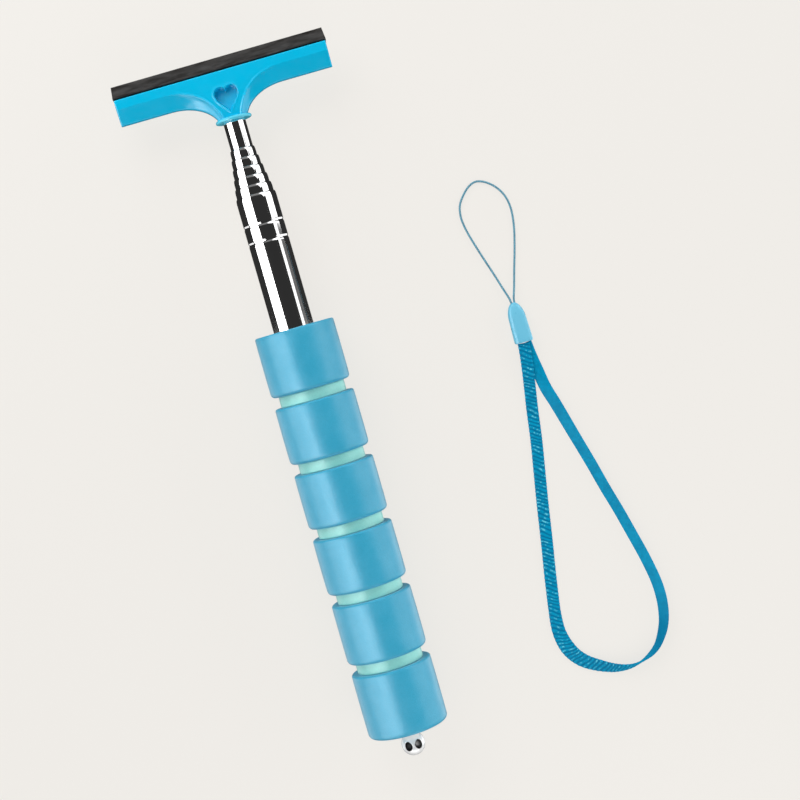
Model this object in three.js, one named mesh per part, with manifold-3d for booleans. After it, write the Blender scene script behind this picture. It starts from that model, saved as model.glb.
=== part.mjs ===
// Telescopic squeegee with a foam grip, lying folded on a surface, and its wrist lanyard beside it.
// Millimetres. +Z is up, +Y points from the grip to the blade, X runs along the blade.
// The origin is on the surface, under the middle of the squeegee.
import * as THREE from "three";
import { mergeVertices } from "three/addons/utils/BufferGeometryUtils.js";
import Module from "manifold-3d";

const wasm = await Module();
wasm.setup();

// ---- driving dimensions ----
const SIDES = 24; // facets round every turned piece
const GAP = 0.3; // between pieces that touch or are fixed together
const RUNNING = 0.06; // radial play between pieces that slide or turn in each other
const axisHeight = 15.15; // centre line of the pole above the surface, and half the grip's thickness

// telescopic tubes, numbered from the thinnest to the outer one
const tubeCount = 7;
const thinnestRadius = 4.2;
const outerRadius = 7.6;
const wall = 0.25;
const mouthOfSecond = 99.1; // upper end of tube 2
const rimStep = 3.58; // length of each tube that shows when folded
const crimpLength = 3.2; // narrowed mouth that keeps the next tube in
const seatLevel = -48; // lower end of tube 6 when folded
const seatStep = 0.85; // each thinner tube sits this much higher
const lipHeight = 0.55; // inward lip that the next tube rests on
const lipWidth = 0.5;
const beadHeight = 1; // the flared foot and the bead that hold a bush
const beadRise = 0.24;
const bushLength = 9;
const bushWall = 0.19;
const bushSlit = 1.6;
const outerBottom = -122.9;
const grooveLevels = [70, 63.6]; // rolled guide grooves of the outer tube
const grooveHalf = 0.8;
const grooveDepth = 0.2;
const seatGrooveDepth = 0.4;

// grip
const gripTop = 30;
const sleeveLengths = [23, 21.3, 20.6, 21, 22.4, 24.3];
const sleeveSpacing = 4.2;
const sleeveRadius = axisHeight / Math.cos(Math.PI / SIDES); // so that a flat facet lies on the surface
const sleeveEdge = 0.7;
const spacerRadius = 12.6;

// lower end
const ballRadius = 4.4;
const ballCentre = -129.7;
const eyeBend = 1.95; // bend radius of the lanyard eye's tunnel
const eyeRadius = 1.35;
const stemRadius = 1.9;
const stemTop = -115;

// head
const bladeTip = 134.1;
const bladeHalf = 41;
const barTop = 128.6; // plastic edge that the rubber comes out of
const barHalf = 40.5;
const wingBottom = 119.1;
const stripBottom = 125;
const wingHalfThickness = 3;
const panelHalfThickness = 4.4;
const neckRadius = 5.4;
const collarRadius = 6.85;
const collarBottom = 109.1;
const collarTop = 111.1;
const spigotLength = 12;
const heartDepth = 2.4;
const channelHalf = 1.2;
const beadChannelRadius = 1.75;
const beadCentre = 125.6; // the rubber's round bead, held in the bar

// lanyard
const stringDiameter = 0.9;
const strapWidth = 4.6;
const strapThickness = 1.1;
const claspBottom = new THREE.Vector2(81.8, 1);
const claspLength = 15.5;
const claspHalfWidth = 3.55;
const claspThickness = 4.6;

// ---- helpers ----

// A closed geometry as a manifold-3d solid.
function solid(geometry) {
  const g = geometry.clone();
  g.deleteAttribute("normal");
  g.deleteAttribute("uv");
  const merged = mergeVertices(g, 1e-4);
  const mesh = new wasm.Mesh({
    numProp: 3,
    vertProperties: new Float32Array(merged.attributes.position.array),
    triVerts: new Uint32Array(merged.index.array),
  });
  return new wasm.Manifold(mesh);
}

// A manifold-3d solid back as a geometry.
function geometryOf(made) {
  const mesh = made.getMesh();
  const g = new THREE.BufferGeometry();
  g.setAttribute("position", new THREE.BufferAttribute(new Float32Array(mesh.vertProperties), 3));
  g.setIndex(new THREE.BufferAttribute(new Uint32Array(mesh.triVerts), 1));
  g.computeVertexNormals();
  return g;
}

// A body turned round the Y axis from [radius, y] pairs, given up the outside and down the inside.
function turned(pairs, closed) {
  const points = pairs.map(([radius, y]) => new THREE.Vector2(radius, y));
  if (closed) points.push(points[0].clone());
  return new THREE.LatheGeometry(points, SIDES, Math.PI / SIDES, 2 * Math.PI);
}

// A plate of an outline in the XY plane, centred on z = 0.
function plate(outline, halfThickness, bevel = 0) {
  const g = new THREE.ExtrudeGeometry(outline, {
    depth: 2 * (halfThickness - bevel),
    bevelEnabled: bevel > 0,
    bevelThickness: bevel,
    bevelSize: bevel,
    bevelOffset: -bevel,
    bevelSegments: 1,
    curveSegments: 6,
  });
  return g.translate(0, 0, bevel - halfThickness);
}

// A profile in the YZ plane drawn out along X, centred on x = 0.
function bar(profile, halfLength) {
  const g = new THREE.ExtrudeGeometry(profile, { depth: 2 * halfLength, bevelEnabled: false, curveSegments: 8 });
  g.translate(0, 0, -halfLength);
  return g.applyMatrix4(new THREE.Matrix4().set(0, 0, 1, 0, 1, 0, 0, 0, 0, 1, 0, 0, 0, 0, 0, 1));
}

// A section swept along a smooth route.
function swept(section, route, steps) {
  const extrudePath = new THREE.CatmullRomCurve3(route, false, "centripetal");
  return new THREE.ExtrudeGeometry(section, { extrudePath, steps, bevelEnabled: false, curveSegments: 2 });
}

function regularShape(radius, sides) {
  const points = [];
  for (let i = 0; i < sides; i++) {
    const angle = (2 * Math.PI * i) / sides;
    points.push(new THREE.Vector2(radius * Math.cos(angle), radius * Math.sin(angle)));
  }
  return new THREE.Shape(points);
}

const group = new THREE.Group();
const pole = new THREE.Group();
pole.position.z = axisHeight;
group.add(pole);

function add(parent, name, geometry, color, roughness, metalness = 0) {
  const material = new THREE.MeshStandardMaterial({ color, roughness, metalness });
  const mesh = new THREE.Mesh(geometry, material);
  mesh.name = name;
  parent.add(mesh);
}

// ---- telescopic tubes and their bushes ----

const tubeRadius = (k) => thinnestRadius + ((k - 1) * (outerRadius - thinnestRadius)) / (tubeCount - 1);
const mouthLevel = (k) => mouthOfSecond - (k - 2) * rimStep;
const footLevel = (k) => seatLevel + (tubeCount - 1 - k) * seatStep;

// The flared foot and the bead with the bush between them, up the outside of a sliding tube.
function beads(radius, foot) {
  const upper = foot + beadHeight + 2 * GAP + bushLength;
  return [
    [radius + beadRise, foot],
    [radius, foot + beadHeight],
    [radius, upper],
    [radius + beadRise, upper + beadHeight / 2],
    [radius, upper + beadHeight],
  ];
}

// The narrowed, rounded mouth of tube k, from its outside over the edge and back inside.
function mouth(k) {
  const top = mouthLevel(k);
  const radius = tubeRadius(k);
  const inside = tubeRadius(k - 1) + RUNNING;
  return [
    [radius, top - 0.8],
    [inside + 0.2, top],
    [inside, top],
    [inside, top + 0.4 - crimpLength],
    [radius - wall, top - crimpLength],
  ];
}

function thinnestTube() {
  const foot = footLevel(1);
  const top = collarBottom - GAP;
  return turned(
    [
      ...beads(thinnestRadius, foot),
      [thinnestRadius, top],
      [thinnestRadius - wall, top],
      [thinnestRadius - wall, foot],
    ],
    true,
  );
}

function middleTube(k) {
  const foot = footLevel(k);
  const inner = tubeRadius(k) - wall;
  return turned(
    [
      ...beads(tubeRadius(k), foot),
      ...mouth(k),
      [inner, foot + lipHeight],
      [inner - lipWidth, foot + lipHeight],
      [inner - lipWidth, foot],
    ],
    true,
  );
}

// A groove rolled into the outer tube: the outside going up, or the inside going down.
function groove(radius, level, depth, upwards) {
  const points = [
    [radius, level - grooveHalf],
    [radius - depth, level],
    [radius, level + grooveHalf],
  ];
  return upwards ? points : points.reverse();
}

function outerTube() {
  const inner = outerRadius - wall;
  const seatGroove = seatLevel - GAP - grooveHalf;
  return turned(
    [
      [outerRadius, outerBottom],
      ...groove(outerRadius, seatGroove, seatGrooveDepth, true),
      ...groove(outerRadius, grooveLevels[1], grooveDepth, true),
      ...groove(outerRadius, grooveLevels[0], grooveDepth, true),
      ...mouth(tubeCount),
      ...groove(inner, grooveLevels[0], grooveDepth, false),
      ...groove(inner, grooveLevels[1], grooveDepth, false),
      ...groove(inner, seatGroove, seatGrooveDepth, false),
      [inner, outerBottom],
    ],
    true,
  );
}

// A thin ring with a slit along it, which springs against the next tube's inside.
function splitBush(k) {
  const inner = tubeRadius(k) + RUNNING;
  const outer = inner + bushWall;
  const low = footLevel(k) + beadHeight + GAP;
  const ring = turned(
    [
      [outer, low],
      [outer, low + bushLength],
      [inner, low + bushLength],
      [inner, low],
    ],
    true,
  );
  const slit = new THREE.BoxGeometry(bushSlit, 2 * bushLength, outer);
  slit.translate(0, low + bushLength / 2, -outer);
  return geometryOf(solid(ring).subtract(solid(slit)));
}

add(pole, "tube_1", thinnestTube(), 0xd8d8d8, 0.12, 1);
for (let k = 2; k < tubeCount; k++) add(pole, `tube_${k}`, middleTube(k), 0xd8d8d8, 0.12, 1);
add(pole, "outer_tube", outerTube(), 0xd8d8d8, 0.12, 1);
for (let k = 1; k < tubeCount; k++) add(pole, `bush_${k}`, splitBush(k), 0xc9a04a, 0.35, 1);

// ---- foam grip ----

function gripSleeve(low, high) {
  const radius = sleeveRadius;
  const edge = sleeveEdge;
  return turned(
    [
      [outerRadius + GAP, low],
      [radius - edge, low],
      [radius, low + edge],
      [radius, high - edge],
      [radius - edge, high],
      [outerRadius + GAP, high],
    ],
    true,
  );
}

function spacerRing(low, high) {
  return turned(
    [
      [outerRadius + GAP, low],
      [spacerRadius, low],
      [spacerRadius, high],
      [outerRadius + GAP, high],
    ],
    true,
  );
}

let sleeveTop = gripTop;
sleeveLengths.forEach((length, i) => {
  const low = sleeveTop - length;
  add(pole, `grip_sleeve_${i + 1}`, gripSleeve(low, sleeveTop), 0x48a6cc, 0.9);
  sleeveTop = low - sleeveSpacing;
  if (i === sleeveLengths.length - 1) return;
  add(pole, `spacer_ring_${i + 1}`, spacerRing(sleeveTop + GAP, low - GAP), 0x79bdbc, 0.9);
});

// ---- end plug and ball knob ----

function endPlug() {
  const flangeTop = outerBottom - GAP;
  const body = outerRadius - wall - 0.15;
  return turned(
    [
      [stemRadius + GAP, flangeTop - 1],
      [outerRadius, flangeTop - 1],
      [outerRadius, flangeTop],
      [body, flangeTop],
      [body, flangeTop + 11],
      [body - 1, flangeTop + 12],
      [0, flangeTop + 12],
      [0, stemTop + GAP],
      [stemRadius + GAP, stemTop + GAP],
    ],
    true,
  );
}

// A ball on a stem, with a curved tunnel through its front that a string is threaded round.
function ballKnob() {
  const ball = new THREE.SphereGeometry(ballRadius, 20, 12).translate(0, ballCentre, 0);
  const stem = turned([
    [0, ballCentre],
    [stemRadius, ballCentre],
    [stemRadius, stemTop],
    [0, stemTop],
  ]);
  const tunnel = new THREE.TorusGeometry(eyeBend, eyeRadius, 8, 16);
  tunnel.rotateX(Math.PI / 2).scale(1, 1.25, 1).translate(0, ballCentre, ballRadius - 0.5);
  return geometryOf(solid(ball).add(solid(stem)).subtract(solid(tunnel)));
}

add(pole, "end_plug", endPlug(), 0x6a6e70, 0.6);
add(pole, "ball_knob", ballKnob(), 0xe6e6e4, 0.15, 1);

// ---- head ----

// The T's outline: a straight bar whose lower edge sweeps down into the neck on both sides.
function wingOutline() {
  const s = new THREE.Shape();
  const end = barHalf - 0.4;
  s.moveTo(-end, wingBottom);
  s.lineTo(-21.5, wingBottom);
  s.bezierCurveTo(-13.5, wingBottom, -7.2, 115.6, -neckRadius, collarTop - 0.4);
  s.lineTo(neckRadius, collarTop - 0.4);
  s.bezierCurveTo(7.2, 115.6, 13.5, wingBottom, 21.5, wingBottom);
  s.lineTo(end, wingBottom);
  s.lineTo(barHalf, barTop);
  s.lineTo(-barHalf, barTop);
  s.closePath();
  return s;
}

// The raised face: a strip along the bar that narrows like a funnel into the neck.
function panelOutline() {
  const s = new THREE.Shape();
  s.moveTo(-barHalf, stripBottom);
  s.lineTo(-23, stripBottom);
  s.bezierCurveTo(-13, stripBottom, -6, 119.8, -3.4, collarTop - 0.4);
  s.lineTo(3.4, collarTop - 0.4);
  s.bezierCurveTo(6, 119.8, 13, stripBottom, 23, stripBottom);
  s.lineTo(barHalf, stripBottom);
  s.lineTo(barHalf, barTop);
  s.lineTo(-barHalf, barTop);
  s.closePath();
  return s;
}

function heartOutline() {
  const s = new THREE.Shape();
  s.moveTo(0, 113.2);
  s.bezierCurveTo(1.3, 115.1, 4.3, 117.6, 4.3, 120.1);
  s.bezierCurveTo(4.3, 122.9, 0.9, 123.1, 0, 121.2);
  s.bezierCurveTo(-0.9, 123.1, -4.3, 122.9, -4.3, 120.1);
  s.bezierCurveTo(-4.3, 117.6, -1.3, 115.1, 0, 113.2);
  return s;
}

// The channel along the bar: a slot with a round bottom that holds the rubber's bead.
function channel() {
  const slot = new THREE.BoxGeometry(4 * barHalf, 2 * (barTop - beadCentre), 2 * channelHalf);
  slot.translate(0, barTop, 0);
  const round = new THREE.CylinderGeometry(beadChannelRadius, beadChannelRadius, 4 * barHalf, 16);
  round.rotateZ(Math.PI / 2).translate(0, beadCentre, 0);
  return solid(slot).add(solid(round));
}

function headFrame() {
  const collarMiddle = (collarTop + collarBottom) / 2;
  const neck = turned([
    [0, collarMiddle],
    [neckRadius, collarMiddle],
    [neckRadius, 112.3],
    [4.4, 116],
    [0, 116],
  ]);
  const slab = new THREE.BoxGeometry(40, 20, 2 * panelHalfThickness).translate(0, 115, 0);
  const collar = turned([
    [0, collarBottom],
    [collarRadius - 0.3, collarBottom],
    [collarRadius, collarBottom + 0.3],
    [collarRadius, collarTop - 0.3],
    [collarRadius - 0.3, collarTop],
    [0, collarTop],
  ]);
  const spigotRadius = thinnestRadius - wall - GAP;
  const spigot = turned([
    [0, collarBottom - spigotLength],
    [spigotRadius - 0.5, collarBottom - spigotLength],
    [spigotRadius, collarBottom - spigotLength + 0.5],
    [spigotRadius, collarMiddle],
    [0, collarMiddle],
  ]);
  let head = solid(plate(wingOutline(), wingHalfThickness))
    .add(solid(plate(panelOutline(), panelHalfThickness, 0.9)))
    .add(solid(neck).intersect(solid(slab)))
    .add(solid(collar))
    .add(solid(spigot))
    .subtract(channel());
  for (const side of [-1, 1]) {
    const pocket = plate(heartOutline(), heartDepth).translate(0, 0, side * panelHalfThickness);
    head = head.subtract(solid(pocket));
  }
  return geometryOf(head);
}

// The blade's profile in (y, z): a bead in the channel, a web, a shoulder and a tapering lip.
function rubberBlade() {
  const web = channelHalf - GAP;
  const bead = beadChannelRadius - GAP;
  const half = [
    [beadCentre - bead, 0.6],
    [beadCentre - bead / 2, bead],
    [beadCentre + bead / 2, bead],
    [beadCentre + bead, web],
    [barTop + GAP, web],
    [barTop + GAP, 2],
    [barTop + 1.5, 2],
    [barTop + 1.7, 1.6],
    [bladeTip, 0.6],
  ];
  const mirrored = half.map(([y, z]) => [y, -z]).reverse();
  const profile = new THREE.Shape([...half, ...mirrored].map(([y, z]) => new THREE.Vector2(y, z)));
  return bar(profile, bladeHalf);
}

add(pole, "head_frame", headFrame(), 0x06b3dd, 0.35);
add(pole, "rubber_blade", rubberBlade(), 0x4e4d49, 0.7);

// ---- lanyard ----

// The string's loop, from one side of the clasp's top round to the other.
const stringRoute = [
  [81.2, 16.8, 2.3],
  [80.9, 18.6, 2],
  [79.8, 22.5, 1.1],
  [78, 28.9, 0.5],
  [76.1, 35, 0.5],
  [74.4, 40.7, 0.5],
  [72.9, 46.3, 0.5],
  [72.1, 50.9, 0.5],
  [72.1, 53.9, 0.5],
  [72.9, 57.3, 0.5],
  [75, 60.4, 0.5],
  [78, 63.2, 0.5],
  [81, 64.3, 0.5],
  [84.1, 63.4, 0.5],
  [87.1, 61.1, 0.5],
  [89.3, 58.2, 0.5],
  [90.6, 55, 0.5],
  [91.1, 51.4, 0.5],
  [90.9, 47.6, 0.5],
  [90, 42.4, 0.5],
  [88.2, 35.7, 0.5],
  [85.9, 28.2, 0.5],
  [84, 22, 1.1],
  [82.8, 18.6, 2],
  [82.4, 16.8, 2.3],
];

// The strap, from the clasp's lower end down its left side, round the bend and back up on the right.
// The left leg lies over the right one at the clasp.
const strapRoute = [
  [81.4, 0.7, 2.95],
  [80.9, -4, 2.9],
  [80.1, -10, 2.4],
  [79, -17.5, 1],
  [77.8, -24.8, 0.6],
  [76.1, -36.1, 0.6],
  [74, -47.5, 0.6],
  [71.8, -59.4, 0.6],
  [69.3, -74, 0.6],
  [66.6, -89.1, 0.6],
  [64.5, -103.2, 0.6],
  [64.6, -110.4, 0.6],
  [66.6, -116.4, 0.6],
  [70.3, -121, 0.6],
  [75.8, -124.5, 0.6],
  [81.7, -127, 0.6],
  [87.6, -127.7, 0.6],
  [93.4, -126.2, 0.6],
  [97.9, -123.4, 0.6],
  [101, -119.4, 0.6],
  [103.2, -115, 0.6],
  [104.5, -109.9, 0.6],
  [105, -104.2, 0.6],
  [104.6, -97.8, 0.6],
  [103, -88.7, 0.6],
  [100.7, -78.8, 0.6],
  [98.5, -69.6, 0.6],
  [96, -60.3, 0.6],
  [93.6, -50.4, 0.6],
  [90, -36.7, 0.6],
  [87, -25.1, 0.6],
  [84.9, -17.6, 0.7],
  [83.8, -10.5, 1.2],
  [82.9, -4.5, 1.6],
  [82.4, 0.7, 1.7],
];

const vectors = (route) => route.map((p) => new THREE.Vector3(...p));

function lanyardString() {
  return swept(regularShape(stringDiameter / 2, 8), vectors(stringRoute), 44);
}

// A flat section with its edges taken off; its width stays level along the route.
function lanyardStrap() {
  const halfThick = strapThickness / 2;
  const halfWide = strapWidth / 2;
  const section = new THREE.Shape();
  section.moveTo(-halfThick, 0.5 - halfWide);
  section.lineTo(0.25 - halfThick, -halfWide);
  section.lineTo(halfThick - 0.25, -halfWide);
  section.lineTo(halfThick, 0.5 - halfWide);
  section.lineTo(halfThick, halfWide - 0.5);
  section.lineTo(halfThick - 0.25, halfWide);
  section.lineTo(0.25 - halfThick, halfWide);
  section.lineTo(-halfThick, halfWide - 0.5);
  section.closePath();
  return swept(section, vectors(strapRoute), 32);
}

// A flat block that narrows a little to a round top.
function lanyardClasp() {
  const s = new THREE.Shape();
  s.moveTo(claspHalfWidth, 0);
  s.lineTo(claspHalfWidth - 0.6, claspLength - 4);
  s.bezierCurveTo(claspHalfWidth - 0.8, claspLength - 1, 1.6, claspLength, 0, claspLength);
  s.bezierCurveTo(-1.6, claspLength, 0.8 - claspHalfWidth, claspLength - 1, 0.6 - claspHalfWidth, claspLength - 4);
  s.lineTo(-claspHalfWidth, 0);
  s.closePath();
  return plate(s, claspThickness / 2, 0.8).translate(claspBottom.x, claspBottom.y, claspThickness / 2);
}

add(group, "lanyard_string", lanyardString(), 0x3f86a6, 0.8);
add(group, "lanyard_clasp", lanyardClasp(), 0x6ec5e3, 0.3);
add(group, "lanyard_strap", lanyardStrap(), 0x0090be, 0.7);

export default group;
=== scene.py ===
"""A folded telescopic squeegee with a foam grip, and its wrist lanyard, on a pale floor.

Lengths in this script are millimetres in the CAD model's own frame, turned into metres where meshes
are made. +Y runs from the grip to the blade, X along the blade, +Z up from the floor.
"""

import math

import bmesh
import bpy
import numpy as np
from mathutils import Matrix, Vector

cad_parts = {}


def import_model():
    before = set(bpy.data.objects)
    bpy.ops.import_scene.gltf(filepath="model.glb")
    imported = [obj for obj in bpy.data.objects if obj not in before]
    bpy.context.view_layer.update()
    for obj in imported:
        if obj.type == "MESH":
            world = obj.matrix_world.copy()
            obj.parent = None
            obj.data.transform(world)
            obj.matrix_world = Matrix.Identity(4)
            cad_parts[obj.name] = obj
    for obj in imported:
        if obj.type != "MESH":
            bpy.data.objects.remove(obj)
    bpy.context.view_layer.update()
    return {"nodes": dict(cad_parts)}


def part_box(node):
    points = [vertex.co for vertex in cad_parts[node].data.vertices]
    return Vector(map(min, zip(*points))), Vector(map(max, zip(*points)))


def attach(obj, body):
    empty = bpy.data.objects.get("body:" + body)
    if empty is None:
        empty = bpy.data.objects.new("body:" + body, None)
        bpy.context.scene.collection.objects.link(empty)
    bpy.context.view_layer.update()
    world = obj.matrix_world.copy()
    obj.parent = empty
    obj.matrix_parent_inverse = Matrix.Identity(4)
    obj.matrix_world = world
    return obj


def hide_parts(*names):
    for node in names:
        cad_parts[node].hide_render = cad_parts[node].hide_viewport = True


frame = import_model()
MM = 0.001
SCENE = bpy.context.scene

HANDLE, SQUEEGEE, LANYARD = "handle", "squeegee", "lanyard"
TUBES = 7
AXIS_Z = sum(v.z for v in map(Vector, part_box("outer_tube"))) / 2 / MM  # height of the pole's centre line
CAD_ROUND = math.cos(math.pi / 24)  # a CAD ring's half width over its corner radius


def box_mm(node):
    """A CAD node's lowest and highest corner in millimetres."""
    low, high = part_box(node)
    return Vector(low) / MM, Vector(high) / MM


# ---------------------------------------------------------------- camera


def make_camera():
    """A level camera above the part that looks straight down, turned so that the pole leans to the left."""
    data = bpy.data.cameras.new("camera")
    data.sensor_width = 36
    data.clip_start, data.clip_end = 0.01, 50
    camera = bpy.data.objects.new("camera", data)
    SCENE.collection.objects.link(camera)
    place = Vector((15, 26, 659))
    middle = Vector((30.4, -6.4, AXIS_Z))  # what the picture is centred on
    width = 296  # of the picture, at the pole's height
    lean = math.radians(16.07)
    right = Vector((math.cos(lean), -math.sin(lean), 0))
    up = Vector((math.sin(lean), math.cos(lean), 0))
    data.lens = data.sensor_width * (place.z - middle.z) / width
    data.shift_x = (middle - place).dot(right) / width
    data.shift_y = (middle - place).dot(up) / width
    turn = Matrix((right, up, right.cross(up))).transposed().to_4x4()
    camera.matrix_world = Matrix.Translation(place * MM) @ turn
    SCENE.camera = camera


make_camera()

# ---------------------------------------------------------------- meshes


def new_mesh(name, verts, faces, material, smooth_deg=40):
    """A mesh object from millimetre points, smooth except at edges sharper than smooth_deg."""
    mesh = bpy.data.meshes.new(name)
    mesh.from_pydata([(x * MM, y * MM, z * MM) for x, y, z in verts], [], faces)
    mesh.polygons.foreach_set("use_smooth", [True] * len(mesh.polygons))
    mesh.set_sharp_from_angle(angle=math.radians(smooth_deg))
    mesh.materials.append(material)
    mesh.update()
    obj = bpy.data.objects.new(name, mesh)
    SCENE.collection.objects.link(obj)
    return obj


def outward(obj):
    """Turns every face of a closed mesh to face outwards."""
    bm = bmesh.new()
    bm.from_mesh(obj.data)
    bmesh.ops.recalc_face_normals(bm, faces=bm.faces)
    bm.to_mesh(obj.data)
    bm.free()
    return obj


def grid_faces(rows, columns, close_rows=False, close_columns=False):
    """Quads over a grid of points numbered row * columns + column."""
    last_row = rows if close_rows else rows - 1
    last_column = columns if close_columns else columns - 1
    faces = []
    for i in range(last_row):
        for j in range(last_column):
            i2, j2 = (i + 1) % rows, (j + 1) % columns
            faces.append((i * columns + j, i * columns + j2, i2 * columns + j2, i2 * columns + j))
    return faces


def supported(profile, margin=0.25):
    """The profile with extra points near the ends of its long stretches, so that they shade flat."""
    out = [profile[0]]
    for (r0, y0), (r1, y1) in zip(profile[:-1], profile[1:]):
        length = math.hypot(r1 - r0, y1 - y0)
        if length > 6 * margin:
            for t in (margin / length, 1 - margin / length):
                out.append((r0 + (r1 - r0) * t, y0 + (y1 - y0) * t))
        out.append((r1, y1))
    return out


def lathe(name, profile, material, segments=128, closed=True, wobble=None, smooth_deg=40):
    """A body turned round the pole's centre line from (radius, y) pairs, up the outside first.

    wobble(angle, radius, y) gives a small change of radius.
    """
    verts = []
    profile = supported(profile)
    for radius, y in profile:
        for j in range(segments):
            a = 2 * math.pi * j / segments
            r = radius + (wobble(a, radius, y) if wobble else 0)
            verts.append((r * math.sin(a), y, AXIS_Z + r * math.cos(a)))
    faces = grid_faces(len(profile), segments, close_rows=closed, close_columns=True)
    if not closed:
        faces.append(tuple(reversed(range(segments))))
        start = (len(profile) - 1) * segments
        faces.append(tuple(range(start, start + segments)))
    return new_mesh(name, verts, faces, material, smooth_deg)


def arc(cx, cy, rx, ry, start, end, steps):
    """Points of an ellipse's arc, angles in degrees."""
    out = []
    for i in range(steps + 1):
        a = math.radians(start + (end - start) * i / steps)
        out.append((cx + rx * math.cos(a), cy + ry * math.sin(a)))
    return out


def smoothstep(low, high, value):
    """0 at low and 1 at high, eased at both ends; low may be the larger one."""
    t = np.clip((value - low) / (high - low), 0, 1)
    return t * t * (3 - 2 * t)


def bezier(p0, p1, p2, p3, steps):
    """Points along a cubic curve."""
    t = np.linspace(0, 1, steps + 1)[:, None]
    p0, p1, p2, p3 = map(np.array, (p0, p1, p2, p3))
    return (1 - t) ** 3 * p0 + 3 * (1 - t) ** 2 * t * p1 + 3 * (1 - t) * t * t * p2 + t**3 * p3


def distance_to(line, x, y):
    """Distance from each (x, y) to a polyline."""
    best = np.full(x.shape, 1e9)
    for (ax, ay), (bx, by) in zip(line[:-1], line[1:]):
        dx, dy = bx - ax, by - ay
        t = np.clip(((x - ax) * dx + (y - ay) * dy) / (dx * dx + dy * dy + 1e-12), 0, 1)
        best = np.minimum(best, np.hypot(x - ax - t * dx, y - ay - t * dy))
    return best


def inside(line, x, y):
    """Whether each (x, y) is inside a closed polyline."""
    result = np.zeros(x.shape, bool)
    for (ax, ay), (bx, by) in zip(line, np.roll(line, -1, axis=0)):
        crosses = (ay > y) != (by > y)
        result ^= crosses & (x < (bx - ax) * (y - ay) / (by - ay + 1e-12) + ax)
    return result


def finish_piece(obj, body, slot, *nodes):
    """Puts a piece on its body and hides the CAD nodes it replaces; its material slot is not used."""
    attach(obj, body)
    if nodes:
        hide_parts(*nodes)
    return obj


# ---------------------------------------------------------------- materials


class Nodes:
    """A Principled material and short calls that add nodes to it."""

    def __init__(self, name):
        self.material = bpy.data.materials.new(name)
        self.material.use_nodes = True
        self.tree = self.material.node_tree
        self.shader = self.tree.nodes["Principled BSDF"]
        self.object = self.new("ShaderNodeTexCoord").outputs["Object"]

    def new(self, kind, **settings):
        node = self.tree.nodes.new(kind)
        for key, value in settings.items():
            setattr(node, key, value)
        return node

    def link(self, source, target):
        self.tree.links.new(source, target)

    def set(self, **values):
        for key, value in values.items():
            self.shader.inputs[key.replace("_", " ")].default_value = value

    def scaled(self, scale):
        """Object coordinates stretched by scale, a number or a triple."""
        node = self.new("ShaderNodeMapping")
        node.inputs["Scale"].default_value = scale if isinstance(scale, tuple) else (scale,) * 3
        self.link(self.object, node.inputs["Vector"])
        return node.outputs["Vector"]

    def noise(self, scale, detail=2, roughness=0.5, vector=None):
        """Noise of about scale bumps per metre."""
        node = self.new("ShaderNodeTexNoise")
        node.inputs["Scale"].default_value = scale if vector is None else 1
        node.inputs["Detail"].default_value = detail
        node.inputs["Roughness"].default_value = roughness
        self.link(self.object if vector is None else vector, node.inputs["Vector"])
        return node.outputs["Fac"]

    def ramp(self, value, *stops):
        """A colour ramp; stops are (position, colour)."""
        node = self.new("ShaderNodeValToRGB")
        elements = node.color_ramp.elements
        while len(elements) < len(stops):
            elements.new(0.5)
        for element, (position, color) in zip(elements, stops):
            element.position = position
            element.color = (*color, 1) if len(color) == 3 else color
        self.link(value, node.inputs["Fac"])
        return node.outputs["Color"]

    def cloudy(self, value, low_color, high_color):
        """Base colour that drifts between two colours."""
        self.link(self.ramp(value, (0.3, low_color), (0.7, high_color)), self.shader.inputs["Base Color"])

    def spread(self, value, low, high, out_low, out_high):
        """The range low to high mapped to out_low to out_high, held at both ends."""
        node = self.new("ShaderNodeMapRange")
        for key, v in zip(("From Min", "From Max", "To Min", "To Max"), (low, high, out_low, out_high)):
            node.inputs[key].default_value = v
        self.link(value, node.inputs["Value"])
        return node.outputs["Result"]

    def times(self, first, second):
        """Product of two values; the second may be a number."""
        node = self.new("ShaderNodeMath", operation="MULTIPLY")
        self.link(first, node.inputs[0])
        if isinstance(second, (int, float)):
            node.inputs[1].default_value = second
        else:
            self.link(second, node.inputs[1])
        return node.outputs["Value"]

    def tinted(self, base, color, amount):
        """The base colour mixed with a plain one by a node's value."""
        node = self.new("ShaderNodeMix", data_type="RGBA")
        self.link(amount, node.inputs["Factor"])
        self.link(base, node.inputs["A"])
        node.inputs["B"].default_value = (*color, 1)
        return node.outputs["Result"]

    def bump(self, height, strength, depth, normal=None):
        """Bump of that depth in metres."""
        node = self.new("ShaderNodeBump")
        node.inputs["Strength"].default_value = strength
        node.inputs["Distance"].default_value = depth
        self.link(height, node.inputs["Height"])
        if normal:
            self.link(normal, node.inputs["Normal"])
        return node.outputs["Normal"]


def srgb(r, g, b):
    """A colour given 0 to 255, as linear light."""
    return tuple((v / 255 / 12.92) if v <= 10 else ((v / 255 + 0.055) / 1.055) ** 2.4 for v in (r, g, b))


BLACK, WHITE = (0, 0, 0), (1, 1, 1)


def mixed(a, b, t):
    """Part way from colour a to colour b."""
    return tuple(x + (y - x) * t for x, y in zip(a, b))


def plastic(name, color, rough, wear=0.01):
    """Moulded plastic: faint cloudiness in colour and gloss, and a fine mould texture."""
    n = Nodes(name)
    n.cloudy(n.noise(90, 3, 0.55), mixed(color, BLACK, 0.04), mixed(color, WHITE, wear))
    n.link(n.spread(n.noise(400, 2), 0.3, 0.7, rough - 0.04, rough + 0.05), n.shader.inputs["Roughness"])
    n.link(n.bump(n.noise(2500, 2), 0.1, 0.00002), n.shader.inputs["Normal"])
    n.shader.inputs["Specular IOR Level"].default_value = 0.5
    return n


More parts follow.
